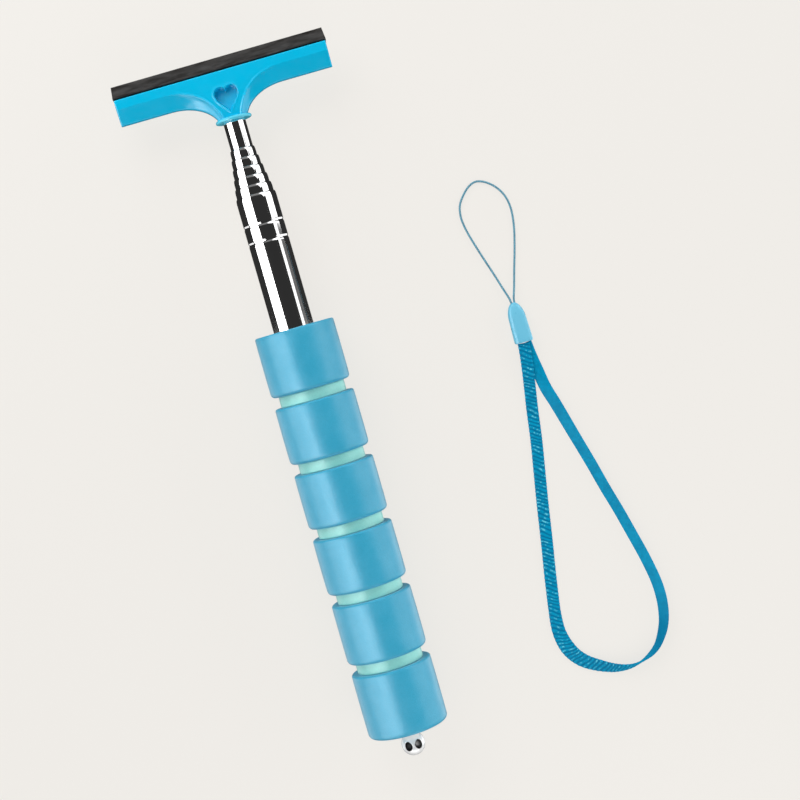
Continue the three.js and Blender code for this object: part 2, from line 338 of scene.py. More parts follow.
def chrome(name, tint=0.9, rough=0.05):
    """Polished steel: fine lines drawn along the tube and faint smudges in the gloss."""
    n = Nodes(name)
    n.set(Metallic=1.0)
    smudge = n.noise(60, 3)
    n.cloudy(smudge, (tint, tint, tint * 0.99), (tint * 0.96,) * 3)
    lines = n.noise(1, 3, 0.6, n.scaled((9000, 60, 9000)))
    n.link(n.spread(smudge, 0.3, 0.7, rough * 0.7, rough * 1.4), n.shader.inputs["Roughness"])
    n.link(n.bump(lines, 0.12, 0.000004), n.shader.inputs["Normal"])
    return n


def pearl(name, tint, rough):
    """Bright plating over a pale body: part mirror, part white."""
    n = chrome(name, tint, rough)
    n.set(Metallic=0.2)
    return n


def foam(name, color, pale):
    """Closed-cell foam: a matte skin with fine pores and a soft sheen."""
    n = Nodes(name)
    pores = n.new("ShaderNodeTexVoronoi")
    pores.inputs["Scale"].default_value = 2600
    n.link(n.object, pores.inputs["Vector"])
    cloud = n.noise(160, 4, 0.6)
    grain = n.noise(1500, 3, 0.7)
    mix = n.new("ShaderNodeMix", data_type="RGBA", blend_type="MULTIPLY")
    mix.inputs["Factor"].default_value = 1
    skin = n.ramp(cloud, (0.3, mixed(color, BLACK, 0.05)), (0.7, mixed(color, pale, 0.08)))
    n.link(skin, mix.inputs["A"])
    n.link(n.ramp(grain, (0.3, (0.93,) * 3), (0.65, WHITE)), mix.inputs["B"])
    n.link(mix.outputs["Result"], n.shader.inputs["Base Color"])
    n.set(Roughness=0.33)
    n.shader.inputs["Specular IOR Level"].default_value = 0.5
    n.shader.inputs["Sheen Weight"].default_value = 0.25
    n.shader.inputs["Sheen Roughness"].default_value = 0.4
    first = n.bump(pores.outputs["Distance"], 0.35, 0.00006)
    n.link(n.bump(grain, 0.4, 0.00008, first), n.shader.inputs["Normal"])
    return n


def rubber(name, color):
    """Matte black rubber with faint streaks along the blade."""
    n = Nodes(name)
    cloud = n.noise(1, 3, 0.6, n.scaled((120, 600, 600)))
    n.cloudy(cloud, mixed(color, BLACK, 0.2), mixed(color, WHITE, 0.04))
    n.link(n.spread(cloud, 0.3, 0.7, 0.5, 0.62), n.shader.inputs["Roughness"])
    n.shader.inputs["Specular IOR Level"].default_value = 0.1
    n.link(n.bump(n.noise(3000, 2), 0.3, 0.00004), n.shader.inputs["Normal"])
    return n


def brass(name):
    """Rolled brass with uneven tarnish."""
    n = Nodes(name)
    n.set(Metallic=1.0)
    tarnish = n.noise(300, 3)
    n.cloudy(tarnish, (0.62, 0.42, 0.16), (0.80, 0.60, 0.27))
    n.link(n.spread(tarnish, 0.3, 0.7, 0.25, 0.4), n.shader.inputs["Roughness"])
    return n


def thread(name, color, dark, rough=0.5):
    """Fine synthetic thread: colour varies from strand to strand and along the fibres."""
    n = Nodes(name)
    strands = n.noise(2200, 3, 0.6)
    n.link(n.ramp(strands, (0.3, dark), (0.65, color)), n.shader.inputs["Base Color"])
    n.set(Roughness=rough)
    n.shader.inputs["Sheen Weight"].default_value = 0.3
    n.link(n.bump(n.noise(6000, 2), 0.5, 0.00004), n.shader.inputs["Normal"])
    return n


def webbing(name, color, dark, pale):
    """Woven band: painted shade between its ribs, and painted highlights on them where the weave is coarse.

    The mesh attribute weave holds the place across the band, the place in ribs along it, and the
    coarseness of the weave. A second attribute is 1 where the band turns over and faces away from the light,
    and paints shade there.
    """
    n = Nodes(name)
    place = n.new("ShaderNodeAttribute", attribute_name="weave")
    painted_twist_shade = n.new("ShaderNodeAttribute", attribute_name="painted_twist_shade")
    parts = n.new("ShaderNodeSeparateXYZ")
    n.link(place.outputs["Vector"], parts.inputs["Vector"])
    wave = n.new("ShaderNodeMath", operation="COSINE")
    n.link(n.times(parts.outputs["Y"], 2 * math.pi), wave.inputs[0])
    rib = wave.outputs["Value"]
    open_weave = n.spread(parts.outputs["Z"], 0.3, 1, 0, 1)
    patches = n.spread(n.noise(620, 3, 0.7), 0.53, 0.63, 0, 0.85)
    # painted highlights on the rib crests where the weave is open
    crest_highlight = n.times(n.times(n.spread(rib, 0.2, 0.9, 0, 1), patches), open_weave)
    # painted shade in the hollows between the ribs
    valley_shade = n.times(n.spread(rib, -1, 0.3, 0.75, 0), open_weave)
    dyed = n.ramp(n.noise(260, 4, 0.7), (0.35, mixed(color, dark, 0.35)), (0.62, color))
    # painted shade where the band turns over and faces away from the light
    twist_shade = n.tinted(dyed, dark, n.spread(painted_twist_shade.outputs["Fac"], 0, 1, 0, 0.6))
    lit = n.tinted(n.tinted(twist_shade, dark, valley_shade), pale, crest_highlight)
    n.link(lit, n.shader.inputs["Base Color"])
    n.set(Roughness=0.45)
    n.shader.inputs["Specular IOR Level"].default_value = 0.04
    n.link(n.bump(n.noise(3500, 2), 0.4, 0.00004), n.shader.inputs["Normal"])
    return n


BACKDROP = srgb(240, 237, 232)
HEAD = plastic("head_plastic", srgb(0, 182, 224), 0.15, 0).material
# a lighter copy of the head plastic: painted light on the collar, which is moulded in the head's plastic
COLLAR_LIT = plastic("collar_plastic_lit", srgb(70, 200, 228), 0.15, 0.05).material
CHROME = chrome("tube_chrome").material
BALL = pearl("ball_chrome", 1.0, 0.2).material
# a darkened metal for the walls of the ball's tunnel: painted shade inside its holes
TUNNEL_SHADE = chrome("tunnel_shade_metal", 0.12, 0.4).material
FOAM = foam("grip_foam", srgb(42, 164, 200), srgb(140, 200, 220)).material
SPACER = foam("spacer_foam", srgb(158, 240, 229), srgb(190, 230, 225)).material
RUBBER = rubber("blade_rubber", srgb(34, 31, 29)).material
BRASS = brass("bush_brass").material
PLUG = plastic("plug_plastic", srgb(226, 228, 228), 0.45).material
STRING = thread("string_cord", srgb(100, 166, 187), srgb(50, 110, 136)).material
# the second colour also paints shade between the ribs and where the band turns over; the third paints
# highlights on the rib crests
STRAP = webbing("strap_webbing", srgb(0, 150, 192), srgb(0, 98, 140), srgb(110, 215, 230)).material
CLASP = plastic("clasp_plastic", srgb(110, 197, 227), 0.3).material

# ---------------------------------------------------------------- lanyard cords

STRING_DIAMETER = 0.9
STRAP_WIDTH = 4.6
STRAP_THICKNESS = 1.1

STRING_ROUTE = [
    (81.2, 16.8, 2.3),
    (80.9, 18.6, 2.0),
    (79.8, 22.5, 1.1),
    (78.0, 28.9, 0.5),
    (76.1, 35.0, 0.5),
    (74.4, 40.7, 0.5),
    (72.9, 46.3, 0.5),
    (72.1, 50.9, 0.5),
    (72.1, 53.9, 0.5),
    (72.9, 57.3, 0.5),
    (75.0, 60.4, 0.5),
    (78.0, 63.2, 0.5),
    (81.0, 64.3, 0.5),
    (84.1, 63.4, 0.5),
    (87.1, 61.1, 0.5),
    (89.3, 58.2, 0.5),
    (90.6, 55.0, 0.5),
    (91.1, 51.4, 0.5),
    (90.9, 47.6, 0.5),
    (90.0, 42.4, 0.5),
    (88.2, 35.7, 0.5),
    (85.9, 28.2, 0.5),
    (84.0, 22.0, 1.1),
    (82.8, 18.6, 2.0),
    (82.4, 16.8, 2.3),
]

STRAP_ROUTE = [
    (81.4, 0.7, 2.95),
    (80.9, -4.0, 2.9),
    (80.1, -10.0, 2.4),
    (79.0, -17.5, 1.0),
    (77.8, -24.8, 0.6),
    (76.1, -36.1, 0.6),
    (74.0, -47.5, 0.6),
    (71.8, -59.4, 0.6),
    (69.3, -74.0, 0.6),
    (66.6, -89.1, 0.6),
    (64.5, -103.2, 0.6),
    (64.6, -110.4, 0.6),
    (66.6, -116.4, 0.6),
    (70.3, -121.0, 0.6),
    (75.8, -124.5, 0.6),
    (81.7, -127.0, 0.6),
    (87.6, -127.7, 0.6),
    (93.4, -126.2, 0.6),
    (97.9, -123.4, 0.6),
    (101.0, -119.4, 0.6),
    (103.2, -115.0, 0.6),
    (104.5, -109.9, 0.6),
    (105.0, -104.2, 0.6),
    (104.6, -97.8, 0.6),
    (103.0, -88.7, 0.6),
    (100.7, -78.8, 0.6),
    (98.5, -69.6, 0.6),
    (96.0, -60.3, 0.6),
    (93.6, -50.4, 0.6),
    (90.0, -36.7, 0.6),
    (87.0, -25.1, 0.6),
    (84.9, -17.6, 0.7),
    (83.8, -10.5, 1.2),
    (82.9, -4.5, 1.6),
    (82.4, 0.7, 1.7),
]

# how far the webbing is rolled, in degrees, and how wide it is pressed, at distances along its route:
# it lies flat on the left leg, stands on its edge in the bend and leans over on the right leg
STRAP_SHAPE = (
    (0, 0, 1),
    (102, 0, 1.02),
    (110, 3, 1.12),
    (117, 8, 1.26),
    (124, 14, 1.2),
    (131, 22, 1.1),
    (137, 38, 1),
    (143, 60, 0.95),
    (148, 80, 0.95),
    (152, 98, 0.95),
    (157, 112, 0.95),
    (162, 125, 1),
    (168, 137, 1),
    (175, 144, 1),
    (215, 145, 1),
    (240, 150, 1),
    (260, 160, 1.02),
    (272, 176, 1.02),
    (290, 180, 1),
)

STRING_ENDS = ((0.1, -1.4, 0.1), (-0.3, -1.4, 0.1))  # how much further its ends reach, into the clasp


def spaced(route, step):
    """Points of equal spacing on a smooth curve through a route, and their distances along it."""
    p = np.array(route, float)
    p = np.vstack([2 * p[0] - p[1], p, 2 * p[-1] - p[-2]])
    fine = []
    for i in range(1, len(p) - 2):
        t = np.linspace(0, 1, 24, endpoint=False)[:, None]
        a, b, c, d = p[i - 1 : i + 3]
        square, cube = 2 * a - 5 * b + 4 * c - d, 3 * b - a - 3 * c + d
        fine.append(0.5 * (2 * b + (c - a) * t + square * t**2 + cube * t**3))
    fine = np.vstack([*fine, p[-2:-1]])
    along = np.concatenate([[0], np.cumsum(np.linalg.norm(np.diff(fine, axis=0), axis=1))])
    s = np.linspace(0, along[-1], max(2, round(along[-1] / step)) + 1)
    return np.column_stack([np.interp(s, along, fine[:, k]) for k in range(fine.shape[1])]), s


def sideways(path):
    """At each point of a nearly level path: the level direction to its left, and up."""
    tangent = np.gradient(path, axis=0)
    tangent /= np.linalg.norm(tangent, axis=1)[:, None]
    side = np.cross([0, 0, 1], tangent)
    side /= np.linalg.norm(side, axis=1)[:, None]
    return side, np.cross(tangent, side)


def rope_faces(n, sides):
    """Faces of a closed rope whose points are numbered line * n + place along it."""
    faces = []
    for k in range(sides):
        following = (k + 1) % sides
        for i in range(n - 1):
            faces.append((k * n + i, following * n + i, following * n + i + 1, k * n + i + 1))
    faces.append(tuple(k * n for k in reversed(range(sides))))
    faces.append(tuple(k * n + n - 1 for k in range(sides)))
    return faces


def lanyard_string():
    """Three thin plies twisted round the string's route."""
    plies, pitch, ply_radius, sides = 3, 2.4, 0.25, 7
    offset = STRING_DIAMETER / 2 - ply_radius - 0.005
    path, along = spaced(STRING_ROUTE, 0.2)
    path[:6] += np.linspace(1, 0, 6)[:, None] * STRING_ENDS[0]
    path[-6:] += np.linspace(0, 1, 6)[:, None] * STRING_ENDS[1]
    side, up = sideways(path)
    verts, faces = [], []
    for ply in range(plies):
        start = len(verts)
        turn = 2 * math.pi * (along / pitch + ply / plies)
        centre = path + offset * (np.cos(turn)[:, None] * side + np.sin(turn)[:, None] * up)
        for k in range(sides):
            a = 2 * math.pi * k / sides
            verts += list(map(tuple, centre + ply_radius * (math.cos(a) * side + math.sin(a) * up)))
        faces += [tuple(start + v for v in face) for face in rope_faces(len(path), sides)]
    obj = new_mesh("wrist_string", verts, faces, STRING, 80)
    return obj, path * MM


def lanyard_strap():
    """Flat webbing: a rounded section with slanted ribs, lifted off the floor where it is rolled."""
    path, along = spaced(STRAP_ROUTE, 0.2)
    side, up = sideways(path)
    distances, rolls, widths = zip(*STRAP_SHAPE)
    roll = np.radians(np.interp(along, distances, rolls))
    half_wide = STRAP_WIDTH / 2 * np.interp(along, distances, widths)
    half_thick = STRAP_THICKNESS / 2
    lift = half_wide * np.abs(np.sin(roll)) + half_thick * (np.abs(np.cos(roll)) - 1)
    centre = path.copy()
    centre[:, 2] += lift
    across = np.cos(roll)[:, None] * side + np.sin(roll)[:, None] * up
    out = np.cos(roll)[:, None] * up - np.sin(roll)[:, None] * side
    around = 44
    rib_pitch = 1.55
    # the ribs are pushed together here and there, and the left leg's weave is the more open one
    uneven = 0.14 * np.sin(0.83 * along) + 0.3 * np.sin(0.31 * along + 1)
    coarse = 1 - 0.75 * smoothstep(136, 150, along)
    twist_shade = np.exp(-(((along - 161) / 12) ** 2))  # the painted shade where the band turns over, away from the light
    rings, weave = [], []
    for k in range(around):
        a = 2 * math.pi * k / around
        c, s = math.cos(a), math.sin(a)
        u = math.copysign(abs(c) ** 0.6, c) * (half_wide - 0.1)
        w = math.copysign(abs(s) ** 0.5, s) * (half_thick - 0.16)
        phase = along / rib_pitch + uneven - 0.55 * np.sin(math.pi * u / STRAP_WIDTH)
        rib = 0.5 + 0.5 * np.cos(2 * math.pi * phase)
        groove = 1 - 0.7 * np.exp(-((u / 0.3) ** 2))
        height = (0.13 * rib * groove * abs(s) ** 0.4 - 0.02) * coarse
        edge = 0.1 * rib * coarse * abs(c) ** 8
        reach = u + math.copysign(1, c) * edge
        rise = w + math.copysign(1, s) * height
        rings.append(centre + reach[:, None] * across + rise[:, None] * out)
        weave += zip(u, phase, coarse)
    verts = [tuple(p) for ring in rings for p in ring]
    obj = new_mesh("wrist_strap", verts, rope_faces(len(path), around), STRAP, 80)
    place = obj.data.attributes.new("weave", "FLOAT_VECTOR", "POINT")
    place.data.foreach_set("vector", np.array(weave, np.float32).ravel())
    # how much painted shade each point of the band gets
    painted_twist_shade = obj.data.attributes.new("painted_twist_shade", "FLOAT", "POINT")
    painted_twist_shade.data.foreach_set("value", np.tile(twist_shade, around).astype(np.float32))
    return obj, path * MM


def lanyard_clasp():
    """A flat moulded sleeve, a little narrower upwards, with a domed top."""
    low, high = box_mm("lanyard_clasp")
    middle_x, middle_z = (low.x + high.x) / 2, (low.z + high.z) / 2
    length = high.y - low.y
    rows, around = 40, 48
    verts = []
    for i in range(rows + 1):
        t = i / rows
        y = low.y + length * (1 - (1 - t) ** 1.25)
        f = (y - low.y) / length
        half = (high.x - low.x) / 2 * (1 - 0.13 * f)
        thick = (high.z - low.z) / 2 * (1 - 0.05 * f)
        dome = max(0.0, (f - 0.66) / 0.34)
        shrink = math.sqrt(max(0.0, 1 - dome**2.1)) * 0.85 + 0.15 * (1 - dome)
        foot = min(1.0, (y - low.y) / 0.5)
        round_in = 0.93 + 0.07 * math.sqrt(1 - (1 - foot) ** 2)
        for k in range(around):
            a = 2 * math.pi * k / around
            c, s = math.cos(a), math.sin(a)
            u = math.copysign(abs(c) ** 0.5, c) * half * (0.04 + 0.96 * shrink) * round_in
            w = math.copysign(abs(s) ** 0.6, s) * thick * (0.12 + 0.88 * shrink**0.7) * round_in
            verts.append((middle_x + u, y, middle_z + w))
    faces = grid_faces(rows + 1, around, close_columns=True)
    faces = [tuple(reversed(f)) for f in faces]
    faces.append(tuple(range(around)))
    faces.append(tuple(reversed(range(rows * around, (rows + 1) * around))))
    return new_mesh("wrist_clasp", verts, faces, CLASP, 50)


clasp = finish_piece(lanyard_clasp(), LANYARD, "clasp_plastic", "lanyard_clasp")
string, string_path = lanyard_string()
finish_piece(string, LANYARD, "string_cord", "lanyard_string")
strap, strap_path = lanyard_strap()
finish_piece(strap, LANYARD, "strap_webbing", "lanyard_strap")

# ---------------------------------------------------------------- telescopic tubes

WALL = 0.25
BEAD = 0.24  # how far the flared foot stands out of a sliding tube
CRIMP = 3.2  # length of the narrowed mouth
GROOVES = (70.0, 63.6)


def cad_radius(k):
    """Outer radius of tube k."""
    low, high = box_mm("outer_tube" if k == TUBES else f"tube_{k}")
    return (high.x - low.x) / 2 / CAD_ROUND - (0 if k == TUBES else BEAD)


def rolled_mouth(k, top):
    """A narrowed, rounded mouth, from the outside over the edge to the inside."""
    radius, inner = cad_radius(k), cad_radius(k - 1) + 0.06
    height = 2.0
    lip = inner + 0.13
    outside = arc(lip, top - height, radius - lip, height, 0, 90, 10)
    return outside + [(inner, top - 0.12), (inner, top - CRIMP + 0.4), (radius - WALL, top - CRIMP)]


def beads(radius, foot):
    """The flared foot of a sliding tube and the bead above it, which hold a bush between them."""
    upper = foot + 10.6
    return [
        (radius + BEAD, foot),
        (radius + BEAD * 0.9, foot + 0.3),
        (radius, foot + 1),
        (radius, upper),
        (radius + BEAD * 0.8, upper + 0.25),
        (radius + BEAD, upper + 0.5),
        (radius + BEAD * 0.8, upper + 0.75),
        (radius, upper + 1),
    ]


def thin_tube():
    """The thinnest tube, which the head's spigot is pressed into."""
    low, high = box_mm("tube_1")
    radius = cad_radius(1)
    top = high.y + 0.6  # it reaches up to the collar
    profile = beads(radius, low.y) + [(radius, top - 0.1), (radius - 0.08, top)]
    profile += [(radius - WALL, top), (radius - WALL, low.y)]
    return lathe("thin_tube", profile, CHROME)


def middle_tube(k):
    """A sliding tube with a narrowed mouth and an inward lip at its foot."""
    low, high = box_mm(f"tube_{k}")
    radius = cad_radius(k)
    inner = radius - WALL
    profile = beads(radius, low.y) + rolled_mouth(k, high.y)
    profile += [(inner, low.y + 0.55), (inner - 0.5, low.y + 0.55), (inner - 0.5, low.y)]
    return lathe(f"middle_tube_{k}", profile, CHROME)


def groove(radius, level, depth, up):
    """A groove rolled into a tube wall, with the section of a cosine wave."""
    half = 0.75
    points = []
    for i in range(13):
        t = i / 12
        dip = depth * 0.5 * (1 - math.cos(2 * math.pi * t))
        points.append((radius - dip, level - half + 2 * half * t))
    return points if up else points[::-1]


def wide_tube():
    """The tube that the grip is on, with two rolled guide grooves."""
    low, high = box_mm("outer_tube")
    radius, inner = cad_radius(TUBES), cad_radius(TUBES) - WALL
    profile = [(radius, low.y)]
    for level in reversed(GROOVES):
        profile += groove(radius, level, 0.2, True)
    profile += rolled_mouth(TUBES, high.y)
    for level in GROOVES:
        profile += groove(inner, level, 0.2, False)
    profile.append((inner, low.y))
    return lathe("wide_tube", profile, CHROME)


finish_piece(thin_tube(), SQUEEGEE, "tube_chrome", "tube_1")
for k in range(2, TUBES):
    finish_piece(middle_tube(k), f"stage_{k}", "tube_chrome", f"tube_{k}")
finish_piece(wide_tube(), HANDLE, "tube_chrome", "outer_tube")
for k in range(1, TUBES):
    bush = frame["nodes"][f"bush_{k}"]
    bush.data.materials.clear()
    bush.data.materials.append(BRASS)

# ---------------------------------------------------------------- foam grip

BORE = 7.6  # inner radius of the foam


def foam_wobble(seed, amount):
    """A shallow unevenness that repeats round the ring."""
    waves = np.random.default_rng(seed).uniform(0, 2 * math.pi, 6)

    def wobble(a, radius, y):
        w = math.sin(3 * a + 0.11 * y + waves[0]) + math.sin(5 * a - 0.23 * y + waves[1])
        w += 0.6 * math.sin(11 * a + 0.7 * y + waves[2]) + 0.6 * math.sin(17 * a - 1.1 * y + waves[3])
        return amount * w / 3.2

    return wobble


def foam_profile(inner, outer, low, high, lower_edge, upper_edge, crown=0.0):
    """Inside wall, rounded outer edges and a slightly crowned side."""
    side = []
    start, end = low + lower_edge, high - upper_edge
    rows = max(4, round((end - start) / 0.8))
    for i in range(rows + 1):
        t = i / rows
        side.append((outer - crown * (2 * t - 1) ** 4, start + (end - start) * t))
    low_edge = arc(outer - crown - lower_edge, start, lower_edge, lower_edge, -90, 0, 8)[:-1]
    high_edge = arc(outer - crown - upper_edge, end, upper_edge, upper_edge, 0, 90, 8)[1:]
    middle = (inner + outer - lower_edge) / 2
    return [(inner, low), (middle, low), *low_edge, *side, *high_edge, (middle, high), (inner, high)]


def grip_sleeve(i):
    """One foam sleeve, with its lower edge rounder than its upper one."""
    low, high = box_mm(f"grip_sleeve_{i}")
    outer = AXIS_Z - 0.03
    profile = foam_profile(BORE, outer, low.y, high.y, 1.5, 0.8, 0.06)
    return lathe(f"foam_sleeve_{i}", profile, FOAM, 160, wobble=foam_wobble(i, 0.025), smooth_deg=60)


def spacer_ring(i):
    """One pale ring, which fills the gap between two sleeves."""
    low, high = box_mm(f"spacer_ring_{i}")
    outer = (high.x - low.x) / 2
    profile = foam_profile(BORE, outer, low.y - 0.25, high.y + 0.25, 0.3, 0.3)
    return lathe(f"foam_spacer_{i}", profile, SPACER, 144, wobble=foam_wobble(20 + i, 0.02), smooth_deg=60)


for i in range(1, 7):
    sleeve = finish_piece(grip_sleeve(i), HANDLE, "grip_foam", f"grip_sleeve_{i}")
for i in range(1, 6):
    ring = finish_piece(spacer_ring(i), HANDLE, "spacer_foam", f"spacer_ring_{i}")

# ---------------------------------------------------------------- end plug and ball knob


def plug():
    """The stepped plug in the pole's end, with a bore for the ball's stem."""
    low, high = box_mm("end_plug")
    radius = (high.x - low.x) / 2 / CAD_ROUND
    profile = [
        (2.1, low.y),
        *arc(radius - 0.4, low.y + 0.4, 0.4, 0.4, -90, 0, 5),
        (radius, low.y + 1),
        (radius - 0.4, low.y + 1),
        (radius - 0.4, high.y - 1),
        (radius - 1.4, high.y),
        (0.4, high.y),
        (0.4, high.y - 4),
        (2.1, high.y - 4.2),
    ]
    return lathe("pole_end_plug", profile, PLUG, 96)


def cut_away(obj, cutter):
    """Takes the cutter's shape out of a mesh; the cut faces get the cutter's material."""
    modifier = obj.modifiers.new("cut", "BOOLEAN")
    modifier.object = cutter
    modifier.operation = "DIFFERENCE"
    modifier.solver = "EXACT"
    modifier.material_mode = "TRANSFER"
    bpy.context.view_layer.update()
    evaluated = obj.evaluated_get(bpy.context.evaluated_depsgraph_get())
    made = bpy.data.meshes.new_from_object(evaluated)
    obj.modifiers.clear()
    obj.data = made
    bpy.data.objects.remove(cutter)


def knob():
    """A polished ball on a short stem, with a curved tunnel through its front for the string."""
    low, high = box_mm("ball_knob")
    radius = (high.x - low.x) / 2
    centre_y = low.y + radius
    stem = 1.9
    fillet = 0.25
    meets = centre_y + math.sqrt(radius**2 - (stem + fillet) ** 2)
    last = math.degrees(math.atan2(meets - centre_y, stem + fillet))
    profile = [(max(x, 0.02), y) for x, y in arc(0, centre_y, radius, radius, -89.5, last, 56)]
    profile += [(stem + 0.08, meets + 0.12), (stem, meets + 0.4), (stem, high.y)]
    ball = lathe("ball_end", profile, BALL, 120, closed=False, smooth_deg=50)
    tunnel_bend, tunnel_radius, sections, sides = 1.95, 1.3, 48, 28
    verts = []
    for i in range(sections):
        a = 2 * math.pi * i / sections
        for j in range(sides):
            b = 2 * math.pi * j / sides
            r = tunnel_bend + tunnel_radius * math.cos(b)
            y = centre_y + 1.4 * tunnel_radius * math.sin(b)
            verts.append((r * math.cos(a), y, AXIS_Z + radius - 0.5 + r * math.sin(a)))
    # the tunnel's walls take the darkened metal, which paints the shade in the holes
    cutter = outward(new_mesh("tunnel", verts, grid_faces(sections, sides, True, True), TUNNEL_SHADE))
    cut_away(ball, cutter)
    ball.data.set_sharp_from_angle(angle=math.radians(35))
    return ball


finish_piece(plug(), HANDLE, "plug_plastic", "end_plug")
finish_piece(knob(), HANDLE, "ball_chrome", "ball_knob")

# ---------------------------------------------------------------- head

HEAD_HALF = 40.5
BAR_TOP = 128.6
WING_BOTTOM = 119.1
STRIP_BOTTOM = 125.0
NECK_BOTTOM = 110.7
NECK_HALF = 5.4
PANEL = 4.4  # half thickness at the raised face
HEART_DEPTH = 2.9


def lower_outline():
    """The head's lower edge from its left end to the neck."""
    wing = np.array([(-HEAD_HALF, WING_BOTTOM), (-21.5, WING_BOTTOM)])
    sweep = bezier((-21.5, WING_BOTTOM), (-13.5, WING_BOTTOM), (-7.2, 115.6), (-NECK_HALF, NECK_BOTTOM), 80)
    return np.vstack([wing, sweep[1:]])


def panel_edge():
    """Lower edge of the raised face, from beyond the head's left end to below the neck."""
    strip = np.array([(-HEAD_HALF - 5, STRIP_BOTTOM), (-23, STRIP_BOTTOM)])
    sweep = bezier((-23, STRIP_BOTTOM), (-13, STRIP_BOTTOM), (-6, 119.8), (-3.4, NECK_BOTTOM), 80)
    return np.vstack([strip, sweep[1:], [(-3.2, NECK_BOTTOM - 6)]])


def heart_line():
    """Outline of the heart-shaped recess, which starts at its point."""
    right = np.vstack(
        [
            bezier((0, 113.2), (1.3, 115.1), (4.3, 117.6), (4.3, 120.1), 30),
            bezier((4.3, 120.1), (4.3, 122.9), (0.9, 123.1), (0, 121.2), 30)[1:],
        ]
    )
    left = right[::-1][1:-1] * np.array([-1, 1])
    return np.vstack([right, left])


def soft_min(a, b, reach):
    """The smaller of two values, rounded off where they are closer than about reach."""
    return (a + b - np.sqrt((a - b) ** 2 + reach**2)) / 2


def soft_max(a, b, reach):
    return -soft_min(-a, -b, reach)


def head_height(x, y):
    """Half thickness of the head moulding at each point."""
    left_x = -np.abs(x)
    edge = panel_edge()
    to_outline = distance_to(lower_outline(), left_x, y)
    round_it = [(0, NECK_BOTTOM - 6), (0, BAR_TOP + 9), (-HEAD_HALF - 5, BAR_TOP + 9)]
    panel_shape = np.vstack([edge, round_it])
    on_panel = inside(panel_shape, left_x, y) | (left_x > -3.1)
    to_edge = distance_to(edge, left_x, y) * np.where(on_panel, -1, 1)
    neck = smoothstep(23, NECK_HALF + 0.3, np.abs(x))
    # the bevel drops from the raised face to the wing; beside the neck it is steeper and hollow
    hollow = 0.8 * neck * (1 - np.exp(-np.maximum(to_edge, 0) / 0.8))
    bevel = PANEL - (0.5 + 0.05 * neck) * to_edge - hollow
    wing = 1.05 + 0.39 * to_outline
    height = soft_min(PANEL, soft_max(bevel, wing, 0.5), 0.45 + 0.4 * neck)
    # a thin ridge follows the raised face's edge
    height += (0.08 + 0.36 * neck) * np.exp(-((to_edge / 0.5) ** 2))
    to_rim = np.minimum(BAR_TOP - y, HEAD_HALF - np.abs(x))
    to_rim = np.where(np.abs(x) > NECK_HALF, np.minimum(to_rim, to_outline), to_rim)
    rounding = 0.5
    t = np.clip(1 - to_rim / rounding, 0, 1)
    height -= rounding * (1 - np.sqrt(np.clip(1 - t * t, 0, 1)))
    heart = heart_line()
    to_heart = distance_to(heart, x, y) * np.where(inside(heart, x, y), 1, -1)
    # the heart's floor slopes, and a small lip runs round it
    depth = HEART_DEPTH + 0.15 * (y - 118.5) - 0.12 * x
    height += 0.14 * np.exp(-(((to_heart + 0.45) / 0.35) ** 2))
    height -= depth * smoothstep(-0.2, 0.35, to_heart)
    return height


def head_moulding():
    """Front and back faces as one height field over columns that follow the lower outline."""
    outline = lower_outline()
    along = np.concatenate([[0], np.cumsum(np.linalg.norm(np.diff(outline, axis=0), axis=1))])
    wing_length = 19.0
    end = np.linspace(0, 0.7, 6)
    wing = np.linspace(0.7, wing_length, 40)[1:]
    sweep = np.arange(wing_length + 0.22, along[-1], 0.22)
    s = np.concatenate([end, wing, sweep])
    xs = np.interp(s, along, outline[:, 0])
    ys = np.interp(s, along, outline[:, 1])
    centre = np.linspace(-NECK_HALF, NECK_HALF, 82)
    columns_x = np.concatenate([xs, centre, -xs[::-1]])
    columns_y = np.concatenate([ys, np.full(centre.shape, NECK_BOTTOM), ys[::-1]])
    rows = 84
    t = np.linspace(0, 1, rows)
    t = t - 0.056 * np.sin(2 * math.pi * t)  # closer rows near both edges
    x = np.repeat(columns_x[:, None], rows, axis=1)
    y = columns_y[:, None] + (BAR_TOP - columns_y)[:, None] * t[None, :]
    h = head_height(x, y)
    nc = len(columns_x)
    front = np.column_stack([x.ravel(), y.ravel(), (AXIS_Z + h).ravel()])
    back = np.column_stack([x.ravel(), y.ravel(), (AXIS_Z - h).ravel()])
    slot_half = 1.25
    slot_floor = BAR_TOP - 1.2
    corners = [(BAR_TOP, slot_half), (slot_floor, slot_half), (slot_floor, -slot_half), (BAR_TOP, -slot_half)]
    lips = [np.column_stack([columns_x, np.full(nc, level), np.full(nc, AXIS_Z + z)]) for level, z in corners]
    verts = np.vstack([front, back, *lips])
    grid = grid_faces(nc, rows)
    count = nc * rows
    faces = [f[::-1] for f in grid] + [tuple(count + v for v in f) for f in grid]
    rim = [(i * rows, (i + 1) * rows) for i in range(nc - 1)]
    faces += [(b, a, count + a, count + b) for a, b in rim]
    # lines of points from the front's top edge through the rubber's slot to the back's top edge
    top = [i * rows + rows - 1 for i in range(nc)]
    lines = [top]
    lines += [[2 * count + k * nc + i for i in range(nc)] for k in range(4)]
    lines.append([count + v for v in top])
    for first, second in zip(lines[:-1], lines[1:]):
        faces += [(first[i], first[i + 1], second[i + 1], second[i]) for i in range(nc - 1)]
    for i in (0, nc - 1):
        side = [i * rows + j for j in range(rows)]
        cap = side + [2 * count + k * nc + i for k in range(4)] + [count + v for v in reversed(side)]
        faces.append(tuple(cap if i else reversed(cap)))
    return outward(new_mesh("head_moulding", [tuple(v) for v in verts], faces, HEAD, 50))


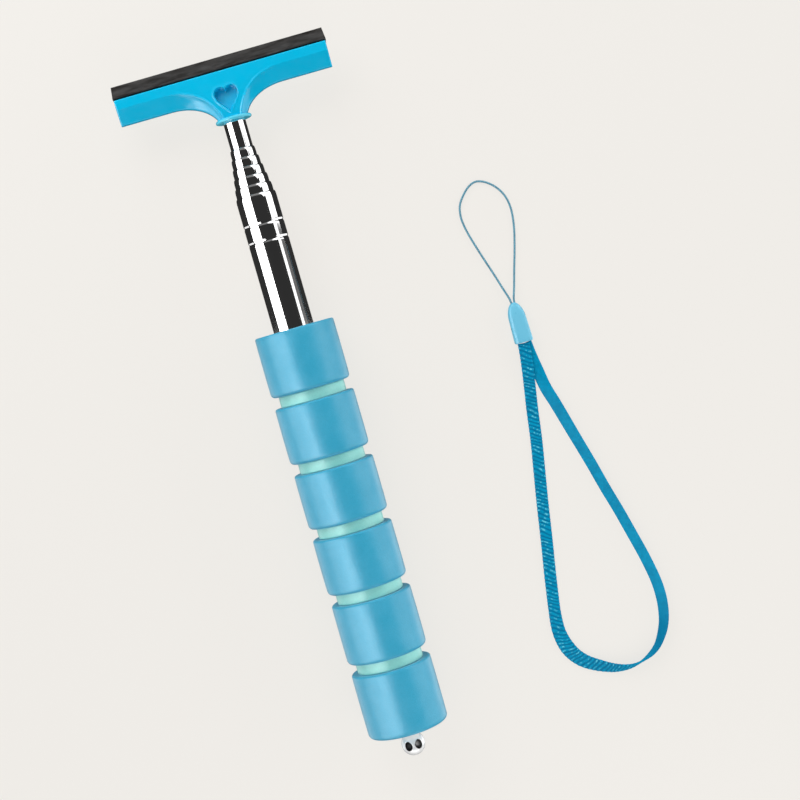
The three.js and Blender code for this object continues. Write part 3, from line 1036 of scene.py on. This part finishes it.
def head_collar():
    """The round collar under the neck and the spigot that the thin tube is pressed on."""
    low, high = box_mm("head_frame")
    radius = (high.z - low.z) / 2 / CAD_ROUND
    bottom, top = 109.75, 111.1
    spigot = cad_radius(1) - WALL - 0.05
    profile = [
        (0.02, low.y),
        (spigot - 0.4, low.y),
        (spigot, low.y + 0.4),
        (spigot, bottom),
        *arc(radius - 0.6, bottom + 0.6, 0.6, 0.6, -90, 0, 6),
        *arc(radius - 0.8, top - 0.8, 0.8, 0.8, 0, 90, 8),
        (4.0, top + 0.1),
        (0.02, top + 0.1),
    ]
    # the collar wears the lighter copy of the head plastic: painted light
    return lathe("head_collar", profile, COLLAR_LIT, 120, closed=False)


def blade():
    """The rubber: a bead in the channel, a web, a square shoulder and a lip that tapers to the edge."""
    low, high = box_mm("rubber_blade")
    half_length = (high.x - low.x) / 2
    tip = high.y
    lip_base = BAR_TOP + 1.65
    lip_length = tip - 0.15 - lip_base
    half = [
        (low.y + 0.1, 0.5),
        (low.y + 0.8, 1.35),
        (low.y + 2.2, 1.35),
        (low.y + 3.0, 0.9),
        (BAR_TOP + 0.7, 0.9),
        (BAR_TOP + 0.75, 1.8),
        (BAR_TOP + 0.9, 2.0),
        (BAR_TOP + 1.3, 2.0),
        (BAR_TOP + 1.5, 1.85),
        *[(lip_base + lip_length * i / 8, 1.6 - 0.95 * i / 8) for i in range(9)],
        (tip, 0.52),
    ]
    profile = half + [(y, -z) for y, z in reversed(half)]
    ends = np.array([half_length, half_length - 0.12])
    middle = np.linspace(-half_length + 0.4, half_length - 0.4, 120)
    stations = np.concatenate([-ends, middle, ends[::-1]])
    verts = []
    for i, x in enumerate(stations):
        shrink = 0.12 if i in (0, len(stations) - 1) else 0.0
        wave = 0.03 * math.sin(x * 0.31) + 0.02 * math.sin(x * 0.83 + 1)
        for y, z in profile:
            reach = (y - BAR_TOP) / (tip - BAR_TOP)
            most = half_length - 0.5 * reach if reach > 0 else HEAD_HALF - 0.6
            held = max(-most, min(most, x))
            verts.append((held, y - shrink * reach, AXIS_Z + z * (1 - shrink) + wave * max(0.0, reach)))
    n = len(profile)
    faces = grid_faces(len(stations), n, close_columns=True)
    faces.append(tuple(range(n)))
    faces.append(tuple(reversed(range((len(stations) - 1) * n, len(stations) * n))))
    return outward(new_mesh("wiper_rubber", verts, faces, RUBBER, 35))


finish_piece(head_moulding(), SQUEEGEE, "head_plastic", "head_frame")
finish_piece(head_collar(), SQUEEGEE, "head_plastic")
finish_piece(blade(), SQUEEGEE, "blade_rubber", "rubber_blade")

# ---------------------------------------------------------------- floor and light

PANEL_DISTANCE = 0.75  # of most lights from the pole, in metres


def floor():
    """A pale floor that gives off most of its own light, so that it stays even."""
    n = Nodes("floor")
    n.set(Roughness=0.9)
    n.shader.inputs["Base Color"].default_value = (*mixed(BACKDROP, BLACK, 0.86), 1)
    n.shader.inputs["Specular IOR Level"].default_value = 0
    n.shader.inputs["Emission Color"].default_value = (*BACKDROP, 1)
    n.shader.inputs["Emission Strength"].default_value = 0.86
    size = 4000
    corners = [(-size, -size, 0), (size, -size, 0), (size, size, 0), (-size, size, 0)]
    obj = new_mesh("floor", corners, [(0, 1, 2, 3)], n.material)
    obj.visible_glossy = False


def grey(value):
    return (value, value, value, 1)


def world():
    """Even soft light: brighter for matte surfaces than for reflections, and pale to the camera."""
    made = bpy.data.worlds.new("studio")
    SCENE.world = made
    made.use_nodes = True
    tree = made.node_tree
    back = tree.nodes["Background"]
    path = tree.nodes.new("ShaderNodeLightPath")
    soft = tree.nodes.new("ShaderNodeMix")
    soft.data_type = "RGBA"
    soft.inputs["A"].default_value = grey(0.38)
    soft.inputs["B"].default_value = grey(0.03)
    tree.links.new(path.outputs["Is Glossy Ray"], soft.inputs["Factor"])
    seen = tree.nodes.new("ShaderNodeMix")
    seen.data_type = "RGBA"
    seen.inputs["B"].default_value = (*BACKDROP, 1)
    tree.links.new(path.outputs["Is Camera Ray"], seen.inputs["Factor"])
    tree.links.new(soft.outputs["Result"], seen.inputs["A"])
    tree.links.new(seen.outputs["Result"], back.inputs["Color"])


def area_light(name, size, size_y, radiance, location, rotation, diffuse, glossy):
    """A rectangular light that the camera doesn't see."""
    data = bpy.data.lights.new(name, "AREA")
    data.shape = "RECTANGLE"
    data.size, data.size_y = size, size_y
    data.energy = radiance * math.pi * data.size * data.size_y
    light = bpy.data.objects.new(name, data)
    SCENE.collection.objects.link(light)
    light.location = location
    light.rotation_euler = rotation
    light.visible_camera = False
    light.visible_diffuse = diffuse
    light.visible_glossy = glossy


def panel(name, off_zenith, azimuth, width, height, radiance, glossy, at=(0, 0), distance=PANEL_DISTANCE):
    """A panel aimed at a point of the pole's height, given in metres.

    off_zenith and azimuth (clockwise from +Y) give its direction in degrees; width and height are the
    angles it covers, the height towards the zenith. A glossy panel is seen only in reflections and
    the others light only matte surfaces.
    """
    tilt, turn = math.radians(off_zenith), math.radians(azimuth)
    direction = Vector((math.sin(tilt) * math.sin(turn), math.sin(tilt) * math.cos(turn), math.cos(tilt)))
    size = 2 * distance * math.tan(math.radians(width / 2))
    size_y = 2 * distance * math.tan(math.radians(height / 2))
    place = direction * distance + Vector((at[0], at[1], AXIS_Z * MM))
    area_light(
        name, size, size_y, radiance, place, direction.to_track_quat("Z", "Y").to_euler(), not glossy, glossy
    )


def side_panel(name, near, far, low, high, radiance):
    """A long panel beside the pole, seen only in reflections.

    It runs from near to far along Y, in metres, and covers the angles low to high from the zenith,
    positive towards the east.
    """
    angle = math.radians((low + high) / 2)
    size = 2 * PANEL_DISTANCE * math.tan(math.radians((high - low) / 2))
    x, z = PANEL_DISTANCE * math.sin(angle), PANEL_DISTANCE * math.cos(angle)
    place = (x, (near + far) / 2, z + AXIS_Z * MM)
    area_light(name, size, far - near, radiance, place, (0, angle, 0), False, True)


floor()
world()
panel("west_gloss", 59, -90, 74, 54, 3.2, True, (0, 0.04))
panel("west_key_gloss", 42, -95, 70, 20, 2.0, True, (0, 0.04))
panel("ridge_gloss", 34, -131, 30, 14, 6.5, True, (0, 0.1))
panel("south_west_gloss", 62, -138, 34, 40, 1.1, True)
panel("north_east_gloss", 60, 49, 36, 34, 1.8, True)
panel("north_gloss", 50, 5, 50, 45, 0.2, True)
panel("south_gloss", 78, 195, 80, 28, 1.6, True)
panel("north_soft", 54, -20, 50, 50, 3.7, False, (0, 0.1), 0.55)
panel("south_soft", 45, 180, 50, 50, 1.5, False, (0.07, -0.1), 0.36)
panel("west_soft", 78, -90, 90, 40, 0.9, False)
panel("east_soft", 78, 90, 90, 40, 1.7, False)
side_panel("east_gloss_head", 0.12, 0.45, 56, 97, 2.0)
side_panel("east_gloss_line", 0.03, 0.12, 57, 74, 1.5)
side_panel("east_gloss_band", 0.03, 0.12, 74, 97, 0.12)
side_panel("east_gloss_grip", -0.5, 0.03, 52, 150, 1.5)
side_panel("west_gloss_grip", -0.5, 0.03, -150, -95, 1.0)
SCENE.view_settings.view_transform = "Standard"
